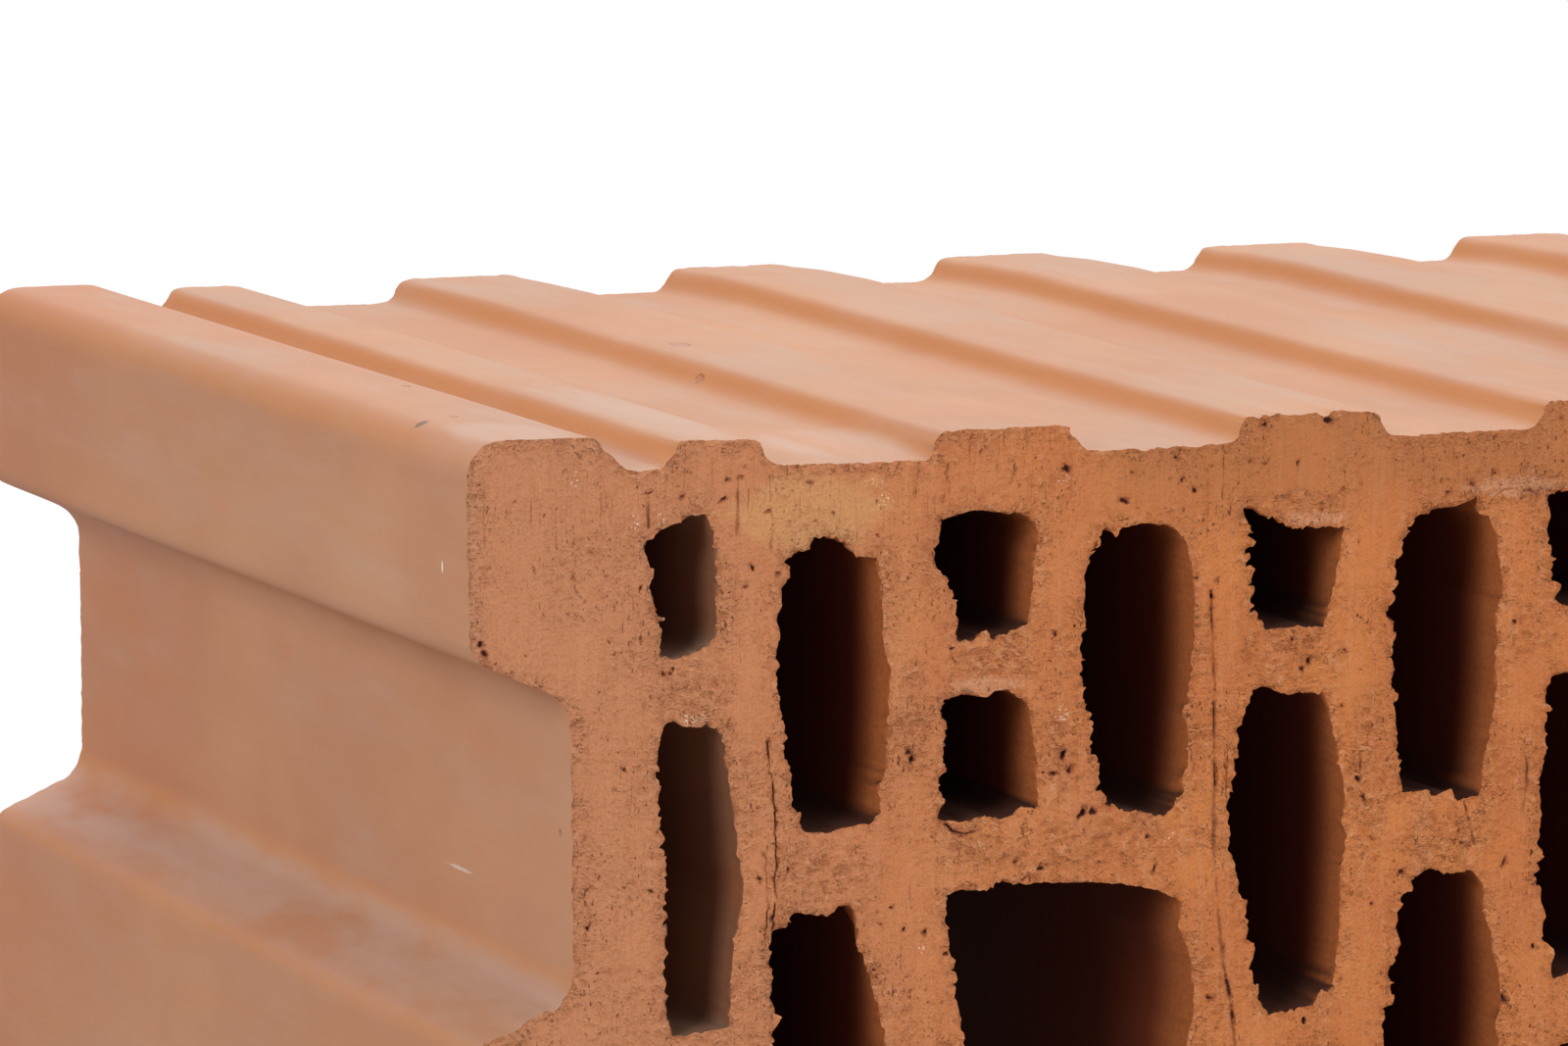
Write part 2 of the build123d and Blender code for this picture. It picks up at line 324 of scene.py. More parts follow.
def arris_wear(outline, seed):
    """How far the outer arris has crumbled inwards: fine noise, and a rounded bite for each chip."""
    wear = 0.14 + layered_noise(outline, [(0.15, 1.7), (0.14, 0.6)], seed)
    wear *= 0.35 + 0.65 * np.clip((outline[:, 0] - 14) / 10, 0, 1)  # the corner ridge is worn least
    for x, z, half, depth in arris_chips:
        away = np.hypot(outline[:, 0] - x, outline[:, 1] - z) / half
        wear += depth * np.clip(1 - away**2, 0, 1)
    return np.maximum(wear, 0)


def skin_sag(points):
    """How far the skin lies inside the die's shape at (x, depth, z), as the soft column warps and shrinks."""
    return 0.2 + layered_noise(points, [(0.12, 70.0), (0.08, 24.0)], 5)


def crown(points, crest=205.0, most=1.0):
    """How far the ribbed top lies above the die's shape at (x, depth, z), in mm. The soft block bulges a
    little behind its middle, and its far end slumps again: a straight rise up to the crest's depth, then a
    fall. It fades out towards the corner ridges, which stand higher."""
    x, depth, z = points.T
    rise = np.minimum(depth / crest, np.clip((laid_height - depth) / (laid_height - crest), 0, 1))
    across = np.clip((x - 20) / 100, 0, 1) * np.clip((360 - x) / 60, 0, 1)
    return most * rise * across * (z > -10)


# The cut face itself.
# The wire leaves fine furrows along its way, from top to bottom, and it pulls pits where grit or air was.
# The flow round the die's cores shows as seams, and drying opens a few hair cracks in the thin webs.
close_grain, far_grain = 0.72, 3.8  # spacing of the points between the edges
edge_gap = 0.55  # no point of the grid comes nearer to an edge than this share of the spacing
pit_edge_gap, pit_grid_gap = 0.2, 0.3  # in mm, from the points of pits and cracks to an edge and to the grid
pits = [
    # x, z, half width, half height, depth
    (1.6, -25.9, 0.45, 0.6, 0.9), (2.3, -27.4, 0.5, 0.4, 0.8), (39.7, -17.6, 0.3, 0.75, 0.8),
    (61.6, -43.6, 0.7, 0.4, 0.8), (62.1, -44.5, 0.35, 0.7, 1.0), (84.1, -44.7, 0.35, 0.8, 1.2),
    (84.7, -47, 0.2, 0.8, 0.8), (86.6, -52.9, 0.5, 0.6, 1.4), (88, -53.2, 0.6, 0.3, 1.2),
    (92.5, -10.9, 0.6, 0.4, 0.8), (102.9, -10, 0.45, 0.45, 0.9), (101, -8.6, 0.35, 0.5, 0.6),
    (84.4, -6.2, 0.3, 0.7, 1.0), (27.2, -30.9, 0.2, 0.4, 0.6), (27.9, -31.2, 0.5, 0.2, 0.6),
    (28.4, -30.5, 0.2, 0.4, 0.6), (25.3, -6.9, 0.55, 0.2, 0.6), (38.1, -5, 0.55, 0.2, 0.7),
    (23.6, -19.6, 0.25, 0.8, 0.8), (36.1, -5.6, 0.3, 0.5, 0.5), (47.8, -6.6, 0.8, 0.25, 0.4),
    (43.3, -18.4, 0.6, 0.3, 0.5), (38.6, -20.1, 0.3, 0.3, 0.5), (21.5, -43.6, 0.25, 0.5, 0.6),
    (16.1, -64.7, 0.45, 0.6, 0.7), (25.3, -60, 0.4, 0.5, 0.7), (40.4, -59.2, 0.45, 0.4, 0.6),
    (44.4, -58, 0.45, 0.25, 0.6), (58.9, -64.2, 0.5, 0.3, 0.6), (60.8, -67.2, 0.25, 0.5, 0.6),
    (64, -67.8, 0.3, 0.8, 0.8), (57.6, -66.3, 0.25, 0.3, 0.5), (56.6, -72.5, 0.4, 0.3, 0.6),
    (80.6, -60.2, 0.9, 0.3, 1.0), (76.8, -59.1, 0.7, 0.25, 0.5), (95.9, -57, 0.45, 0.3, 0.6),
    (96.9, -61, 0.3, 0.8, 0.6), (104.7, -79.2, 0.6, 0.25, 0.7), (118.7, -83.2, 0.4, 0.7, 1.0),
    (126.7, -50.6, 0.35, 0.8, 1.0), (122.3, -1.3, 0.9, 0.5, 0.9), (113.2, -1.6, 0.4, 0.4, 0.7),
    (127.8, -53, 0.2, 0.8, 0.6), (128.5, -67.7, 0.5, 0.4, 0.6), (133.1, -63.6, 0.6, 0.5, 0.7),
    (140.9, -59.6, 0.8, 0.2, 0.5), (142.3, -60.3, 0.5, 0.2, 0.6), (149.9, -30.2, 0.35, 0.5, 0.7),
    (148.2, -81.8, 0.4, 0.5, 0.7), (152.6, -75, 0.35, 0.6, 0.9), (117.9, -7, 0.35, 0.8, 0.5),
    (110.9, -6.6, 0.5, 0.2, 0.4), (113.3, -6.7, 0.25, 0.4, 0.4), (117, -31, 0.5, 0.6, 0.6),
    (119.8, -34, 0.4, 0.9, 0.7), (118.5, -34.9, 0.8, 0.3, 0.6), (124.7, -32.6, 0.3, 0.4, 0.5),
    (124.5, -40.4, 0.35, 0.3, 0.6), (82.5, -47.3, 0.4, 0.3, 0.6), (80.9, -47.2, 0.5, 0.2, 0.5),
    (82.7, -28.6, 0.4, 0.3, 0.6), (85.5, -27.5, 0.35, 0.3, 0.6), (68.2, -29.6, 0.4, 0.25, 0.8),
    (100.2, -5.4, 0.4, 0.3, 0.7), (66.8, -71, 0.6, 0.5, 0.7), (143.3, -10.8, 0.5, 0.35, 0.5),
    (139.8, -11.9, 0.6, 0.4, 0.5), (147, -9.7, 0.35, 0.45, 0.5), (152.4, -62, 0.3, 0.7, 0.5),
    (148.3, -63, 0.35, 1.0, 0.6), (103.3, -21.9, 0.4, 0.35, 0.5), (41.8, -9.9, 0.25, 0.2, 0.5),
    (35.6, -8.2, 0.5, 0.4, 0.6), (29.8, -7.5, 0.4, 0.3, 0.5), (106.2, -22.4, 0.3, 0.4, 0.4),
    (105.2, -24.4, 0.4, 0.5, 1.0), (129, -59, 0.5, 0.3, 0.4),
]
cracks = [
    # Half width, depth, then the way of a hair crack or a dragged furrow
    (0.14, 0.5, [(41.6, -41), (41.9, -44), (42.4, -47.5), (42.6, -52), (42.6, -58), (42.5, -62),
                 (42.2, -66)]),
    (0.14, 0.25, [(41.2, -55), (41.4, -60), (41.3, -66), (40.9, -70)]),
    (0.30, 0.38, [(105.2, -24.5), (105.4, -30), (105.7, -36), (105.6, -44), (105.8, -50)]),
    (0.40, 0.28, [(105.7, -50), (105.5, -58), (106, -66), (106.7, -74), (108, -80), (108.6, -86)]),
    (0.16, 0.25, [(107.1, -4.4), (107, -8), (106.8, -11)]),
    (0.2, 0.16, [(104.8, -7), (104.7, -12), (104.6, -16)]),
    (0.25, 0.4, [(25.3, -6.9), (25.1, -9), (25.1, -11.5)]),
    (0.4, 0.2, [(37.6, -6), (37.6, -9.5), (37.5, -12.8)]),
    (0.3, 0.2, [(42.4, -10.5), (42.5, -13), (42.2, -15)]),
    (0.2, 0.25, [(67.4, -5), (67.1, -7.5), (66.6, -10)]),
    (0.2, 0.2, [(63.4, -4), (63, -7), (62.7, -9)]),
    (0.14, 0.3, [(77, -4.2), (76.7, -6), (76.4, -7.8)]),
    (0.15, 0.3, [(36.4, -37.7), (35.6, -38.6), (35, -39.2)]),
    (0.2, 0.45, [(67.2, -53.6), (68, -54.4), (69.4, -54.9), (71, -54.7), (72, -54.2)]),
    (0.2, 0.2, [(69, -55), (69, -56.6), (68.8, -58)]),
    (0.18, 0.4, [(79, -61.6), (78.9, -60.8), (77.9, -61.6)]),
    (0.2, 0.25, [(82.5, -42.6), (82.6, -44.8)]),
    (0.25, 0.25, [(146.2, -13.6), (147, -12.6), (148.5, -11.8), (151, -12), (153.5, -12.8)]),
    (0.2, 0.3, [(127, -46.8), (127.1, -49)]),
    (0.3, 0.35, [(142.6, -55), (143, -57), (143.9, -60)]),
    (0.3, 0.15, [(126.4, -20.5), (128, -21.8), (130.4, -22.1), (132, -21.2)]),
    (0.2, 0.2, [(107.6, -41.6), (107.6, -46), (107.4, -52)]),
    (0.3, 0.3, [(151.2, -47.6), (151.8, -50), (151.6, -53), (151, -56)]),
    (0.25, 0.45, [(106.9, -72), (107, -75), (107.8, -78), (108.4, -82)]),
]
lime_specks = [
    # x, z, half size
    (15.3, -4.6, 0.9), (17.5, -0.9, 0.8), (23.3, -10.7, 0.9), (83.7, -7.9, 0.9), (83.6, -39.3, 1.0),
    (99, -57.3, 0.9), (63, -70, 0.9), (27, -10.7, 0.8), (30.6, -37.4, 1.1), (32.5, -37.7, 1.1),
    (58.2, -9.4, 1.0), (57.4, -6.8, 0.8), (120.9, -0.3, 0.7), (123.6, -0.5, 0.7), (44.8, -2.2, 0.9),
    (52, -3, 0.9), (91, -27, 0.8),
]
rough_zones = [
    # x, z, half width and half height of the places where the wire tore the webs open
    (84, -57.5, 22, 4.5), (117, -33.5, 9, 4.5), (73, -32.6, 8, 3.6), (50, -59, 9, 4.5),
    (140, -59, 9, 4.2), (31, -33.6, 7, 4), (117, -13, 8, 2.6), (151, -12, 8, 3), (83.5, -46, 3, 9),
    (128, -52, 3, 14), (62, -40, 3.5, 9), (152, -32, 5, 4),
]
rng = np.random.default_rng(11)
small_count = 240
small_pits = np.column_stack([
    rng.uniform(2, 158, small_count), rng.uniform(-86, -1, small_count),
    0.14 + 0.2 * rng.random(small_count) ** 3, 0.14 + 0.4 * rng.random(small_count) ** 3,
    rng.uniform(0.15, 0.45, small_count)])


def past_close(points):
    """How far each point lies past the part that is seen from close by, and below 0 within that part."""
    return np.maximum(points[:, 0] - close_right, close_bottom - points[:, 1])


def nearest(points, edges):
    """The distance from each point to the nearest of the edges' points."""
    tree = KDTree(len(edges))
    for number, (x, z) in enumerate(edges.tolist()):
        tree.insert((x, z, 0), number)
    tree.balance()
    return np.array([tree.find((x, z, 0))[2] for x, z in points.tolist()])


def along_line(points, line):
    """The distance from each point to a line of straight runs."""
    away = np.full(len(points), np.inf)
    for start, end in zip(line[:-1], line[1:]):
        run = end - start
        t = np.clip(((points - start) @ run) / (run @ run), 0, 1)
        away = np.minimum(away, np.hypot(*(points - start - t[:, None] * run).T))
    return away


def hollows(points):
    """The depth of pits and cracks: a pit is a bowl with steep sides, and a crack a narrow V that is deeper
    in some places than in others. Points are first shifted at random, less for cracks, so that neither has a
    smooth outline."""
    coarse, fine = [[value_noise(points, size, seed) for seed in (15, 16)] for size in (1.0, 0.4)]
    shift = 0.26 * np.column_stack(coarse) + 0.14 * np.column_stack(fine)
    straighter, points = points + 0.6 * shift, points + shift
    depth = np.zeros(len(points))
    unevenly = 0.85 + 0.6 * value_noise(points, 2.0, 14)
    for x, z, half_width, half_height, deep in itertools.chain(pits, small_pits):
        round_it = np.hypot((points[:, 0] - x) / half_width, (points[:, 1] - z) / half_height)
        depth = np.maximum(depth, 0.75 * deep * np.clip(1.6 * (1 - round_it), 0, 1))
    for half_width, deep, line in cracks:
        across = along_line(straighter, np.array(line)) / half_width
        depth = np.maximum(depth, deep * unevenly * np.clip(1.15 - across, 0, 1))
    return depth


def specks(points):
    """How much lime shows at each point, from 0 to 1: soft spots with ragged outlines."""
    points = points + np.column_stack([0.5 * value_noise(points, 0.8, seed) for seed in (17, 18)])
    shown = np.zeros(len(points))
    for x, z, half in lime_specks:
        shown = np.maximum(shown, np.clip(1.3 - np.hypot(points[:, 0] - x, points[:, 1] - z) / half, 0, 1))
    return shown


def torn_open(points, to_edge):
    """How rough the tearing leaves each point, from 0 to 1: most at an edge and in the rough zones."""
    rough = np.exp(-to_edge / 1.8)  # mm
    for x, z, half_width, half_height in rough_zones:
        away = ((points[:, 0] - x) / half_width) ** 2 + ((points[:, 1] - z) / half_height) ** 2
        rough = np.maximum(rough, np.clip(1.3 - away + 0.5 * value_noise(points, 3.0, 19), 0, 1))
    return rough


def furrows(points, to_edge, seed):
    """How far the cut lies behind the block's full height: slow waves, furrows drawn out along the wire's
    way, crumbling that dies away from the edges, and the worn lip of each edge."""
    slow = 0.2 * (1 + value_noise(points, 22.0, seed)) + 0.1 * (1 + value_noise(points, 7.0, seed + 5))
    drawn = 0.09 * (1 + value_noise(points, (1.6, 19.0), seed + 1))
    rough = 0.34 * np.abs(value_noise(points, (2.8, 1.8), seed + 3))
    rough += 0.3 * np.abs(value_noise(points, 1.3, seed + 4))
    lip = 0.2 * np.exp(-to_edge / 0.5)
    return slow + drawn + rough * (0.25 + 1.3 * torn_open(points, to_edge)) + lip


def hex_grid(spacing, seed, jitter=0.32):
    """A grid of staggered rows over the whole face, each point moved at random by up to a third of a step."""
    x, z = np.meshgrid(np.arange(-2, 390, spacing), np.arange(-252, 4, spacing * 0.87))
    x[1::2] += spacing / 2
    shift = np.random.default_rng(seed).uniform(-jitter, jitter, (2,) + x.shape) * spacing
    return np.column_stack([(x + shift[0]).ravel(), (z + shift[1]).ravel()])


def ring_round(pit, shares, count):
    """Points on ellipses inside a pit, at these shares of its size, and its middle."""
    x, z, half_width, half_height = pit[:4]
    turn = np.arange(count) / count * 2 * math.pi
    ellipse = np.column_stack([half_width * np.cos(turn), half_height * np.sin(turn)])
    return np.vstack([(x, z) + s * ellipse for s in shares] + [[(x, z)]])


def crack_points(half_width, line):
    """Points along a crack's bottom and both its lips, a little under a step apart."""
    line = np.array(line)
    reach = np.concatenate([[0], np.cumsum(np.hypot(*np.diff(line, axis=0).T))])
    at = np.linspace(0, reach[-1], max(3, int(reach[-1] / 0.5)))
    middle = np.column_stack([np.interp(at, reach, line[:, axis]) for axis in (0, 1)])
    run = np.gradient(middle, axis=0)
    side = np.column_stack([run[:, 1], -run[:, 0]]) / np.hypot(*run.T)[:, None] * half_width * 1.2
    return np.vstack([middle, middle + side, middle - side])


def fill_face(edges, inner):
    """Triangles between the closed edges and the inner points, none of them in a hole. Returns the triangles
    over the edges' points, in order, followed by the inner points."""
    starts = np.cumsum([0] + [len(edge) for edge in edges[:-1]]).tolist()
    rounds = [list(range(start, start + len(edge))) for start, edge in zip(starts, edges)]
    points = np.vstack(edges + [inner])
    made = delaunay_2d_cdt([Vector(p) for p in points], [], rounds, 2, 1e-5)
    assert len(made[0]) <= len(points), "two edges of the cut face cross"
    origin = np.array([came_from[0] for came_from in made[3]])
    return origin[np.array(made[2])]


def inner_points(edges, extra, close):
    """The points between the edges: a far grid, a close one where the face is seen from close by, and extra
    ones, without those that crowd an edge or an extra point."""
    grid, step = hex_grid(far_grain, 21), far_grain
    if close:
        fine = hex_grid(close_grain, 22)
        grid = np.vstack([grid[past_close(grid) >= 2], fine[past_close(fine) < 0]])
        step = np.where(past_close(grid) < 0, close_grain, far_grain)
    everything = np.vstack(edges)
    grid = grid[nearest(grid, everything) > edge_gap * step]
    if len(extra):
        extra = extra[nearest(extra, everything) > pit_edge_gap]
        grid = grid[nearest(grid, extra) > pit_grid_gap]
        grid = np.vstack([grid, extra])
    return grid


# The block's mesh.
# It is one closed skin: the cut face in front, the walls of the outline and of every hole, and the far cut
# face. Outer walls and holes' walls come straight from the die, so only what is next to a cut is torn.
front_rings = [(0, 1.0), (0.6, 0.95), (2.8, 0.6), (tear_depth, 0.0)]  # depth, and share of the tear
back_rings = [(6.0, 0.0), (1.6, 0.6), (0, 1.0)]
skin_stations = np.linspace(20, laid_height - 20, 11)
hole_stations = np.array([36.0, 100.0])
wide_reach = 36.0  # a tear that widens a hole fades out by this depth
smooth_depth = 2.8  # and its small notches by this one
notch_smoothing = 14  # so many times
drawn_tears = [np.array(hand, float) for hand in hand_tears]
points, faces, kinds = [], [], []
marks = {"hollow": [], "torn": [], "lime": []}  # how deep a pit is in mm, how near an edge, and how much lime
skin_kind, cut_kind, wall_kind = 0, 1, 2
sharp_bend = math.radians(62)  # sharper edges than this stay hard when the faces are shaded smooth


def add_points(section, depth, hollow=0.0, torn=1.0, lime=0.0):
    """Adds points at (x, z) and a depth behind the front face, with their marks, and gives their numbers."""
    first = sum(len(p) for p in points)
    points.append(at_depth(section, depth))
    for name, value in (("hollow", hollow), ("torn", torn), ("lime", lime)):
        marks[name].append(np.broadcast_to(value, len(section)))
    return first + np.arange(len(section))


def add_faces(corners, kind):
    faces.append(corners)
    kinds.append(np.full(len(corners), kind))


def join(ring, deeper, kind):
    """Closes the band between two rings, with four-cornered faces, or with three triangles to each step of
    the deeper ring where it has half as many points."""
    if len(ring) == len(deeper):
        add_faces(np.column_stack([ring, deeper, np.roll(deeper, -1), np.roll(ring, -1)]), kind)
        return
    a, b, c = ring[::2], ring[1::2], np.roll(ring[::2], -1)
    d, e = deeper, np.roll(deeper, -1)
    for corners in ((a, d, b), (b, d, e), (b, e, c)):
        add_faces(np.column_stack(corners), kind)


def join_back(deeper, ring, kind):
    """The same band where the ring with more points, or as many, lies further back."""
    add_faces(np.column_stack([deeper, ring, np.roll(ring, -1), np.roll(deeper, -1)]), kind)


front_edges, back_edges, front_numbers, back_numbers = [], [], [], []
for number, outline in enumerate(die):
    is_outer = number == 0
    kind = skin_kind if is_outer else wall_kind
    close = is_close[number]
    coarse = (skin_outline if is_outer else outline)[::2]
    fine = outline if close else coarse
    middle, half = (fine.min(axis=0) + fine.max(axis=0)) / 2, np.ptp(fine, axis=0) / 2
    if not is_outer:
        near = [hand for hand in drawn_tears if np.all(np.abs(hand.mean(axis=0) - middle) < half)]
        torn = drawn_tear(fine, near[0]) if near else random_tear(fine, 100 + number)
        smooth_torn = smoothed(torn, notch_smoothing)
    rings = []
    for depth, share in front_rings:
        if is_outer:
            base = share * fine + (1 - share) * skin_outline
            place = at_depth(base, depth)
            inwards = skin_sag(place) + share**2 * arris_wear(base, 31)
            ring = base - to_air(base) * inwards[:, None]
            ring[:, 1] += crown(place)
        else:
            tear = torn + min(depth / smooth_depth, 1) * (smooth_torn - torn)
            widens = ((tear - fine) * to_air(fine)).sum(axis=1, keepdims=True) < 0
            ring = fine + np.where(widens, 1 - (depth / wide_reach) ** 2, share) * (tear - fine)
            ring = ring + share * crumbs(ring, depth, 41)
        rings.append(untangle(ring))
    edge = rings[0]
    sunk = furrows(edge, np.zeros(len(edge)), 51)
    numbers = [add_points(ring, depth + sunk * share) for ring, (depth, share) in zip(rings, front_rings)]
    front_edges.append(edge)
    front_numbers.append(numbers[0])
    for a, b in zip(numbers[:-1], numbers[1:]):
        join(a, b, kind)
    last = numbers[-1]
    for station in skin_stations if is_outer else hole_stations:
        place = at_depth(coarse, station)
        inwards = skin_sag(place) if is_outer else 0.15 * value_noise(place, 30.0, 61)
        ring = coarse - to_air(coarse) * inwards[:, None]
        if is_outer:
            ring[:, 1] += crown(place)
        here = add_points(ring, station)
        join(last, here, kind)
        last = here
    torn = coarse if is_outer else random_tear(coarse, 300 + number)
    for depth, share in back_rings:
        if is_outer:
            place = at_depth(coarse, laid_height - depth)
            inwards = skin_sag(place) + 0.3 * share**2 * arris_wear(coarse, 71)
            ring = coarse - to_air(coarse) * inwards[:, None]
        else:
            ring = coarse + share * (torn - coarse)
            ring = untangle(ring + share * crumbs(ring, depth, 81))
        sunk = share * furrows(ring, np.zeros(len(ring)), 91)
        here = add_points(ring, laid_height - depth - sunk)
        join_back(last, here, kind)
        last = here
    back_edges.append(ring)
    back_numbers.append(last)

extra = np.vstack(
    [ring_round(pit, (0.35, 0.95), 8) for pit in pits]
    + [ring_round(pit, (0.5, 1.0), 6) for pit in small_pits]
    + [crack_points(half_width, line) for half_width, deep, line in cracks]
)
inner = inner_points(front_edges, extra, True)
corners = fill_face(front_edges, inner)
to_edge = nearest(inner, np.vstack(front_edges))
dug = hollows(inner)
sunk = furrows(inner, to_edge, 51) + dug
inside = add_points(inner, sunk, dug, torn_open(inner, to_edge), specks(inner))
add_faces(np.concatenate(front_numbers + [inside])[corners], cut_kind)
inner = inner_points(back_edges, np.empty((0, 2)), False)
corners = fill_face(back_edges, inner)
to_edge = nearest(inner, np.vstack(back_edges))
inside = add_points(inner, laid_height - furrows(inner, to_edge, 91), 0, torn_open(inner, to_edge))
add_faces(np.concatenate(back_numbers + [inside])[corners][:, ::-1], cut_kind)

place = np.vstack(points)
used = np.zeros(len(place), bool)
for corners in faces:
    used[corners.ravel()] = True
renumber = np.cumsum(used) - 1
place = place[used] / 1000 + (low.x, low.y, high.z - corner_rise / 1000)
mesh = bpy.data.meshes.new("fired_block")
mesh.from_pydata(place, [], [row for corners in faces for row in renumber[corners].tolist()])
mesh.polygons.foreach_set("material_index", np.concatenate(kinds).astype(np.int32))
for name, values in marks.items():
    mark = mesh.attributes.new(name, "FLOAT", "POINT")
    mark.data.foreach_set("value", np.concatenate(values)[used].astype(np.float32))
mesh.validate()
mesh.shade_smooth()
mesh.set_sharp_from_angle(angle=sharp_bend)
block = bpy.data.objects.new("fired_block", mesh)
bpy.context.scene.collection.objects.link(block)


# What the clay looks like.
# It is brick clay, fired once and unglazed. Iron in it burns to orange, and salts dry to a pale bloom. The
# die polishes the outer skin, the wire leaves the cut matt and grainy, and dust dulls the walls of the holes.
# Shade and sheen are partly painted into the colours: shade in the holes, pits, cracks, creases and pores and
# on the ridge flanks, sheen on the level faces.
def linear(text):
    """The linear colour of an sRGB hex value."""
    parts = [int(text[i : i + 2], 16) / 255 for i in (1, 3, 5)]
    return [p / 12.92 if p <= 0.04045 else ((p + 0.055) / 1.055) ** 2.4 for p in parts] + [1.0]


def node(tree, kind, inputs, **settings):
    """Adds one node with its settings. An input takes a value or another node's output."""
    made = tree.nodes.new(kind)
    for name, value in settings.items():
        setattr(made, name, value)
    for name, value in inputs.items():
        if isinstance(value, bpy.types.NodeSocket):
            tree.links.new(value, made.inputs[name])
        else:
            made.inputs[name].default_value = value
    return made


def new_material(name):
    """A material without a surface yet, its tree, and the place of each point on the block."""
    material = bpy.data.materials.new(name)
    material.use_nodes = True
    tree = material.node_tree
    tree.nodes.clear()
    place = node(tree, "ShaderNodeTexCoord", {}).outputs["Object"]
    return material, tree, place


def from_end(distance):
    """X at this distance in mm from the groove end's land."""
    return low.x + distance / 1000


def below_top(distance):
    """Z at this distance in mm below the corner ridges' tops."""
    return high.z - distance / 1000


def grain(tree, place, size, detail=2.0, roughness=0.5, shift=0.0):
    """Noise whose lumps measure size in mm along X, Y and Z."""
    scaled = node(tree, "ShaderNodeVectorMath", {0: place, 1: [1000 / s for s in size]}, operation="MULTIPLY")
    moved = node(tree, "ShaderNodeVectorMath", {0: scaled.outputs[0], 1: [shift] * 3}, operation="ADD")
    noise = {"Vector": moved.outputs[0], "Scale": 1.0, "Detail": detail, "Roughness": roughness}
    return node(tree, "ShaderNodeTexNoise", noise).outputs["Fac"]


def showing(tree, *factors):
    """How much of something shows: the product of its factors. Each is a number, a node's output, or an
    output with a start and an end, between which it goes softly from 0 to 1."""
    product = None
    for factor in factors:
        if isinstance(factor, tuple):
            ramp = dict(zip(("Value", "From Min", "From Max"), factor))
            factor = node(tree, "ShaderNodeMapRange", ramp, interpolation_type="SMOOTHSTEP").outputs[0]
        if product is not None:
            factor = node(tree, "ShaderNodeMath", {0: product, 1: factor}, operation="MULTIPLY").outputs[0]
        product = factor
    return product


def laid_over(tree, colour, layers):
    """The colour with the layers over it, one after the other. Each has its factors, then its own colour."""
    for *factors, over in layers:
        over = linear(over) if isinstance(over, str) else over
        mixed = {0: showing(tree, *factors), 6: colour, 7: over}
        colour = node(tree, "ShaderNodeMix", mixed, data_type="RGBA").outputs[2]
    return colour


def spots(tree, place, ragged, *listed):
    """1 in the middle of each listed spot and 0 beyond them. A spot's middle and its reach are x, depth and
    z in mm, in the section's own axes, and the noise ragged breaks up its outline."""
    closest = None
    for (x, depth, z), reach in listed:
        middle = (from_end(x), low.y + depth / 1000, below_top(corner_rise - z))
        off = node(tree, "ShaderNodeVectorMath", {0: place, 1: middle}, operation="SUBTRACT").outputs[0]
        stretch = [1000 / r for r in reach]
        off = node(tree, "ShaderNodeVectorMath", {0: off, 1: stretch}, operation="MULTIPLY").outputs[0]
        away = node(tree, "ShaderNodeVectorMath", {0: off}, operation="LENGTH").outputs["Value"]
        if closest is not None:
            away = node(tree, "ShaderNodeMath", {0: closest, 1: away}, operation="MINIMUM").outputs[0]
        closest = away
    away = node(tree, "ShaderNodeMath", {0: ragged, 1: 1.2, 2: closest}, operation="MULTIPLY_ADD").outputs[0]
    return showing(tree, (away, 1.65, 1.2))


def finish_surface(tree, colour, roughness, bumps, specular):
    """The finished surface: bumps is a list of heights, each with its depth in mm."""
    normal = None
    for height, depth in bumps:
        inputs = {"Height": height, "Distance": depth / 1000, "Strength": 1.0}
        if normal is not None:
            inputs["Normal"] = normal
        normal = node(tree, "ShaderNodeBump", inputs).outputs["Normal"]
    shader = node(tree, "ShaderNodeBsdfPrincipled", {
        "Base Color": colour, "Roughness": roughness, "Normal": normal, "IOR": fired_clay_ior,
        "Specular IOR Level": specular})
    node(tree, "ShaderNodeOutputMaterial", {"Surface": shader.outputs[0]})


fired_clay_ior = 1.5

# Extruded skin: pressed smooth by the steel die, with faint streaks along the block, a haze of dust and salts
# that on the level faces is partly painted sheen, deeper orange at the far end and on the slopes, where it is
# partly painted shade, and the marks of handling: dents, a nick, a chip, a scratch and scuffs on the end
# groove's lower flank
skin, tree, place = new_material("extruded_fired_clay")
axes = node(tree, "ShaderNodeSeparateXYZ", {0: place}).outputs
broad = grain(tree, place, (38, 60, 30), 3.0, 0.55)
haze = grain(tree, place, (20, 64, 18), 4.0, 0.55, 7.0)
rubbed = grain(tree, place, (10, 34, 9), 3.0, 0.6, 13.0)
smears = grain(tree, place, (9, 70, 13), 4.0, 0.55, 37.0)
streaks = grain(tree, place, (1.6, 160, 1.6), 2.0, 0.5)
fine = grain(tree, place, (0.55, 0.7, 0.55), 3.0, 0.6)
ragged = grain(tree, place, (1.2, 1.6, 1.2), 2.0, 0.6, 23.0)
facing = node(tree, "ShaderNodeTexCoord", {}).outputs["Normal"]
upright = node(tree, "ShaderNodeSeparateXYZ", {0: facing}).outputs["Z"]
# faces that point up; their pale haze is partly dust and salts and partly painted sheen
level_with_painted_sheen = (upright, 0.9, 1.0)
upper = (axes["Z"], below_top(140), below_top(40))
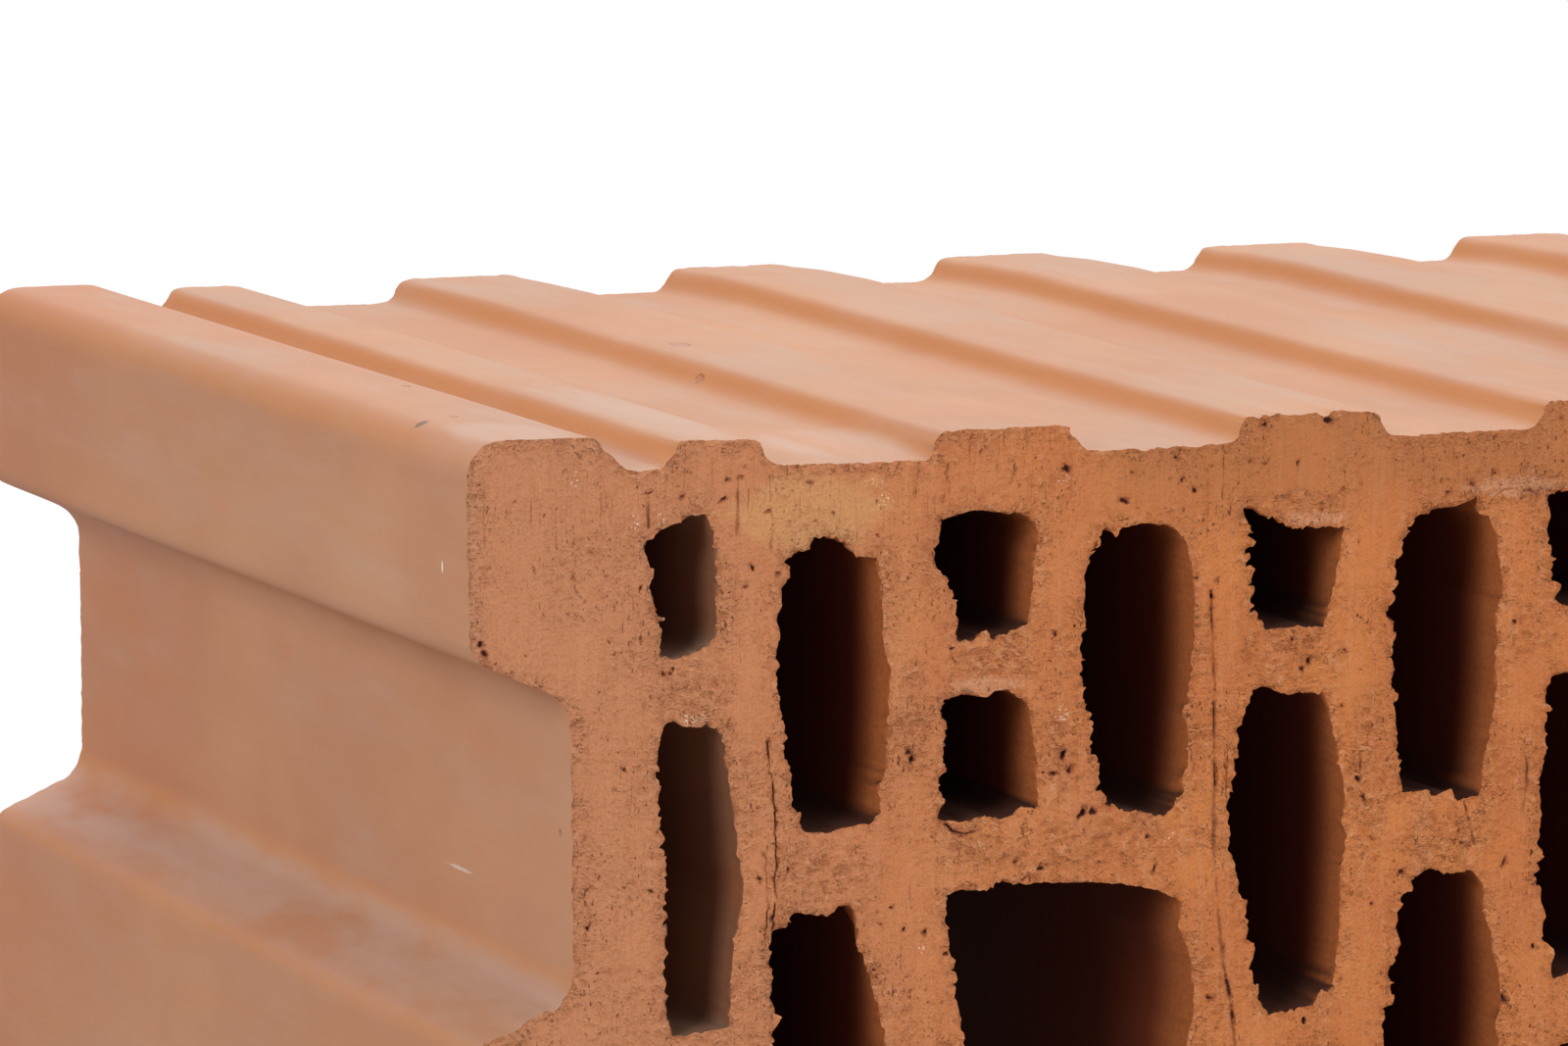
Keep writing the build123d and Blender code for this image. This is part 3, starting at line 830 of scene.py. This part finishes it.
# sloping faces of the upper part; their deeper orange is partly the clay's own colour and partly painted
# shade on the ridge flanks
slopes_with_painted_shade = showing(tree, (upright, 0.0, 0.35), (upright, 0.92, 0.52), upper)
orange = {"Value": axes["X"], "From Min": from_end(2), "From Max": from_end(9), "To Min": 0.5, "To Max": 0.78}
orange = node(tree, "ShaderNodeMapRange", orange).outputs[0]
far_end = showing(tree, (axes["Y"], -0.01, high.y), (axes["X"], from_end(36), from_end(22)))
lower_flank = showing(tree, (axes["Z"], below_top(82.5), below_top(77.5)),
                      (axes["Z"], below_top(71.5), below_top(75.5)), (axes["X"], from_end(20), from_end(14)))
bloom = spots(tree, place, haze, ((35, 40, 0), (6, 45, 2)), ((9, 10, 1), (8, 16, 2)),
              ((58, 20, -3.7), (9, 22, 2)))
dents = spots(tree, place, ragged, ((71.3, 120.5, 0.6), (1.6, 3.6, 2)), ((64.8, 94, -2), (0.7, 2.2, 1)),
              ((14.6, 72.3, 1), (0.6, 1.7, 2)), ((8.4, 32, 1), (0.5, 1.2, 1)),
              ((14, 6, -52.4), (2, 0.7, 0.5)))
nick = spots(tree, place, ragged, ((3.2, 30, 0.4), (1.3, 1.3, 1.4)))
chip = spots(tree, place, ragged, ((0, 12.2, -16.8), (1.5, 0.42, 0.85)))
scratch = spots(tree, place, ragged, ((14, 49, -63.1), (2, 6, 0.3)))
colour = laid_over(tree, linear("#BE8058"), [
    ((broad, 0.35, 0.68), "#C78C64"),
    (far_end, 0.38, "#C06D40"),
    ((rubbed, 0.58, 0.74), 0.45, "#CB7D4C"),
    ((haze, 0.45, 0.7), 0.4, "#C4977F"),
    # paler on the level faces: partly dust and salts, partly painted sheen
    (level_with_painted_sheen, (haze, 0.3, 0.8), 0.66, "#C09D86"),
    # deeper orange on the slopes, partly painted shade
    (slopes_with_painted_shade, orange, "#CA834A"),
    (bloom, (smears, 0.3, 0.6), 0.36, "#CDB3A3"),
    ((smears, 0.5, 0.75), 0.3, "#C6A08C"),
    (lower_flank, (rubbed, 0.3, 0.65), 0.75, "#C6A08C"),
    ((streaks, 0.3, 0.75), 0.06, "#A86C4C"),
    ((fine, 0.58, 0.75), 0.18, "#A0603F"),
    (dents, 0.32, "#94644C"),
    (nick, 0.8, "#5E4632"),
    (chip, "#E8D8CA"),
    (scratch, 0.6, "#E8D8CA"),
])
dulled = {"Value": haze, "From Min": 0.3, "From Max": 0.7, "To Min": 0.6, "To Max": 0.72}
dulled = node(tree, "ShaderNodeMapRange", dulled).outputs[0]
bumps = [(streaks, 0.015), (fine, 0.03), (broad, 0.6), (showing(tree, dents, -1.0), 0.3)]
finish_surface(tree, colour, dulled, bumps, specular=0.5)
mesh.materials.append(skin)

# Wire-cut clay: sandy and matt, drawn out in scratches along Z, with creases and pores where it tore, whose
# dark colour is painted shade, painted shade in the pits and cracks, an ochre smear of another clay near the
# top, pale lips over some holes, and specks of lime
cut, tree, place = new_material("wire_cut_fired_clay")
axes = node(tree, "ShaderNodeSeparateXYZ", {0: place}).outputs
broad = grain(tree, place, (16, 30, 16), 3.0, 0.55)
drawn = grain(tree, place, (1.5, 1.5, 26), 3.0, 0.6)
scratches = grain(tree, place, (0.45, 0.45, 7), 2.0, 0.55, 9.0)
fibres = grain(tree, place, (1.5, 1.5, 1.0), 3.0, 0.6, 3.0)
sand = grain(tree, place, (0.38, 0.38, 0.38), 3.0, 0.7)
pores = grain(tree, place, (0.5, 0.5, 0.95), 2.0, 0.6, 5.0)
clusters = grain(tree, place, (9, 9, 14), 2.0, 0.5, 41.0)
knots = grain(tree, place, (2.4, 2.4, 1.7), 2.0, 0.5, 29.0)
patches = grain(tree, place, (4, 4, 3), 3.0, 0.6, 17.0)
torn, lime, hollow = [node(tree, "ShaderNodeAttribute", {}, attribute_name=name).outputs["Fac"]
                      for name in ("torn", "lime", "hollow")]
smear = spots(tree, place, patches, ((48, 0, -10.7), (12.5, 20, 6.4)))
lips = spots(tree, place, knots, ((120.5, 0, -14.6), (5, 20, 1.2)), ((150, 0, -11.6), (8.5, 20, 1.5)),
             ((72.6, 0, -35), (6, 20, 1.3)), ((32, 0, -37.4), (2.6, 20, 0.7)))
between = node(tree, "ShaderNodeMath", {0: fibres, 1: 0.5}, operation="SUBTRACT").outputs[0]
between = node(tree, "ShaderNodeMath", {0: between}, operation="ABSOLUTE").outputs[0]
# creases and open pores get some real depth from the bumps below, and their dark colour is painted shade
creases = showing(tree, (between, 0.02, 0.004), (knots, 0.56, 0.66), (torn, 0.1, 0.7))
open_pores = showing(tree, (pores, 0.65, 0.685), (clusters, 0.42, 0.6))
crumbly = {0: torn, 1: showing(tree, (clusters, 0.4, 0.75))}
crumbly = node(tree, "ShaderNodeMath", crumbly, operation="MAXIMUM").outputs[0]
# painted shade in the pits and cracks, darker where they are deeper
painted_pit_shade = {0: sand, 1: 0.5, 2: hollow}
painted_pit_shade = node(tree, "ShaderNodeMath", painted_pit_shade, operation="MULTIPLY_ADD").outputs[0]
near_top = (axes["Z"], below_top(19), below_top(8))
colour = laid_over(tree, linear("#BF6F3C"), [
    ((broad, 0.35, 0.66), "#C77841"),
    ((axes["X"], from_end(110), from_end(0)), "#BE7E59"),
    ((axes["X"], from_end(2.4), from_end(0.6)), 0.35, "#C6906E"),
    (smear, 0.62, "#CE9964"),
    ((drawn, 0.45, 0.7), 0.35, "#C98A61"),
    ((fibres, 0.5, 0.35), crumbly, 0.6, "#94502A"),
    ((fibres, 0.55, 0.68), crumbly, 0.5, "#D99C74"),
    ((sand, 0.52, 0.66), 0.26, "#D89E78"),
    ((sand, 0.47, 0.34), 0.3, "#90502E"),
    ((scratches, 0.7, 0.74), 0.5, "#8A4A2A"),
    ((scratches, 0.6, 0.68), near_top, 0.32, "#8A4A2A"),
    ((axes["X"], from_end(84), from_end(96)), near_top, 0.5, "#A96A40"),
    # painted shade in the creases and open pores
    (creases, 0.65, "#7C4022"),
    (open_pores, 0.85, "#6E3519"),
    ((lime, 0.1, 0.5), (sand, 0.58, 0.63), "#EBD6C2"),
    (lips, (sand, 0.3, 0.6), 0.45, "#D8A483"),
    # painted shade in the pits and cracks
    ((painted_pit_shade, 0.3, 0.45), 0.65, "#7A3D20"),
    ((painted_pit_shade, 0.5, 0.66), "#431A0B"),
])
rougher = {0: torn, 1: showing(tree, (clusters, 0.3, 0.7))}
rougher = node(tree, "ShaderNodeMath", rougher, operation="ADD").outputs[0]
rougher = node(tree, "ShaderNodeMath", {0: rougher, 1: 0.15}, operation="ADD").outputs[0]
lumps = showing(tree, fibres, rougher)
deeper = node(tree, "ShaderNodeMath", {0: open_pores, 1: creases}, operation="ADD").outputs[0]
bumps = [(drawn, 0.35), (lumps, 0.85), (sand, 0.26), (showing(tree, deeper, -1.0), 0.3)]
finish_surface(tree, colour, 0.92, bumps, specular=0.3)
mesh.materials.append(cut)

# Hole walls: pressed smooth by the die's cores and never rubbed, and dulled by dust. Painted shade darkens
# them further in and on the floors; those of the edge column are greyer, and there the painted shade gives
# way to greyer colours
wall, tree, place = new_material("die_formed_hole_wall")
axes = node(tree, "ShaderNodeSeparateXYZ", {0: place}).outputs
fine = grain(tree, place, (0.6, 1.2, 0.6), 3.0, 0.6)
from_middle = node(tree, "ShaderNodeMath", {0: axes["Y"]}, operation="ABSOLUTE").outputs[0]
# painted shade: the walls darken from 2 to 17 mm behind either cut face
painted_shade_further_in = (from_middle, high.y - 0.002, high.y - 0.017)
facing = node(tree, "ShaderNodeTexCoord", {}).outputs["Normal"]
upright = node(tree, "ShaderNodeSeparateXYZ", {0: facing}).outputs["Z"]
edge_column = showing(tree, (axes["X"], from_end(40), from_end(37)))
# the colour of the painted shade deep in the holes, greyer in the edge column
inside = laid_over(tree, linear("#66290F"), [(edge_column, "#A07058")])
# painted shade on the floors, which face up, greyer in the edge column
floors_painted_shade = laid_over(tree, linear("#2E140A"), [(edge_column, "#84644F")])
colour = laid_over(tree, linear("#AE6232"), [
    ((fine, 0.4, 0.7), "#9C562A"),
    (edge_column, "#84543A"),
    (painted_shade_further_in, inside),
    ((upright, 0.05, 0.8), 0.93, floors_painted_shade),
])
finish_surface(tree, colour, 0.85, [(fine, 0.04)], specular=0.3)
mesh.materials.append(wall)

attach(block, "root")
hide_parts("clay_block")


# The floor and the light of a studio.
# The block lies on a pale matt floor that runs out to white, under soft lamps and with white walls all round.
# Floor and walls look brighter to the camera and in reflections than the light that they give the block.
def at_sight(tree, seen, lit):
    """Joins two shaders: the first is what the camera and reflections see, the second is what gives light."""
    rays = node(tree, "ShaderNodeLightPath", {}).outputs
    sight = rays["Is Camera Ray"]
    for ray in ("Is Glossy Ray", "Is Transmission Ray"):
        sight = node(tree, "ShaderNodeMath", {0: sight, 1: rays[ray]}, operation="MAXIMUM").outputs[0]
    return node(tree, "ShaderNodeMixShader", {0: sight, 1: lit, 2: seen}).outputs[0]


floor_reach = 30.0  # metres
shadow_reach, white_reach = 0.45, 1.3  # the floor is plain up to the first and white from the second
mesh = bpy.data.meshes.new("studio_floor")
floor_corners = [(x * floor_reach, y * floor_reach, 0) for x, y in ((-1, -1), (1, -1), (1, 1), (-1, 1))]
mesh.from_pydata(floor_corners, [], [(0, 1, 2, 3)])
floor = bpy.data.objects.new("studio_floor", mesh)
bpy.context.scene.collection.objects.link(floor)
pale, tree, place = new_material("pale_matt_floor")
matt = node(tree, "ShaderNodeBsdfDiffuse", {"Color": linear("#E9E7E4")}).outputs[0]
dim = node(tree, "ShaderNodeBsdfDiffuse", {"Color": linear("#B4B1AE")}).outputs[0]
white = node(tree, "ShaderNodeEmission", {"Color": (1, 1, 1, 1), "Strength": 1.0}).outputs[0]
away = node(tree, "ShaderNodeVectorMath", {0: place}, operation="LENGTH").outputs["Value"]
whiter = showing(tree, (away, shadow_reach, white_reach))
faded = node(tree, "ShaderNodeMixShader", {0: whiter, 1: matt, 2: white}).outputs[0]
node(tree, "ShaderNodeOutputMaterial", {"Surface": at_sight(tree, faded, dim)})
mesh.materials.append(pale)

world_light = 0.26
world = bpy.data.worlds.new("studio_walls")
world.use_nodes = True
tree = world.node_tree
tree.nodes.clear()
seen = node(tree, "ShaderNodeBackground", {"Color": (1, 1, 1, 1), "Strength": 1.0}).outputs[0]
lit = node(tree, "ShaderNodeBackground", {"Color": (1, 1, 1, 1), "Strength": world_light}).outputs[0]
node(tree, "ShaderNodeOutputWorld", {"Surface": at_sight(tree, seen, lit)})
bpy.context.scene.world = world

lamps = [
    # Name, place, size in metres and power in watts; each faces the block
    ("top_lamp", (0.3, 0.6, 1.5), 1.8, 20.0),
    ("side_lamp", (-1.85, -1.15, 1.1), 1.0, 25.0),
    ("front_lamp", (0.7, -2.0, 0.45), 1.0, 27.0),
]
block_middle = Vector((0, 0, 0.125))
for name, place, size, power in lamps:
    lamp = bpy.data.lights.new(name, "AREA")
    lamp.shape = "SQUARE"
    lamp.size = size
    lamp.energy = power
    holder = bpy.data.objects.new(name, lamp)
    holder.location = place
    holder.rotation_euler = (block_middle - Vector(place)).to_track_quat("-Z", "Y").to_euler()
    bpy.context.scene.collection.objects.link(holder)

# The camera, set from the edges of the front face: close to its top left corner and looking a little down
lens, sensor = 244.3, 36.0  # mm
camera_place = Vector((-0.6209, -1.4395, 0.4005))  # metres
heading, dip, roll = [math.radians(turn) for turn in (19.681, 6.637, -0.376)]
camera_data = bpy.data.cameras.new("close_view")
camera_data.lens = lens
camera_data.sensor_width = sensor
camera_data.sensor_fit = "HORIZONTAL"
camera_data.clip_end = 100.0
camera = bpy.data.objects.new("close_view", camera_data)
aim = Euler((math.pi / 2 - dip, 0, -heading)).to_matrix() @ Matrix.Rotation(roll, 3, "Z")
camera.matrix_world = Matrix.Translation(camera_place) @ aim.to_4x4()
bpy.context.scene.collection.objects.link(camera)
bpy.context.scene.camera = camera
bpy.context.scene.view_settings.view_transform = "Standard"
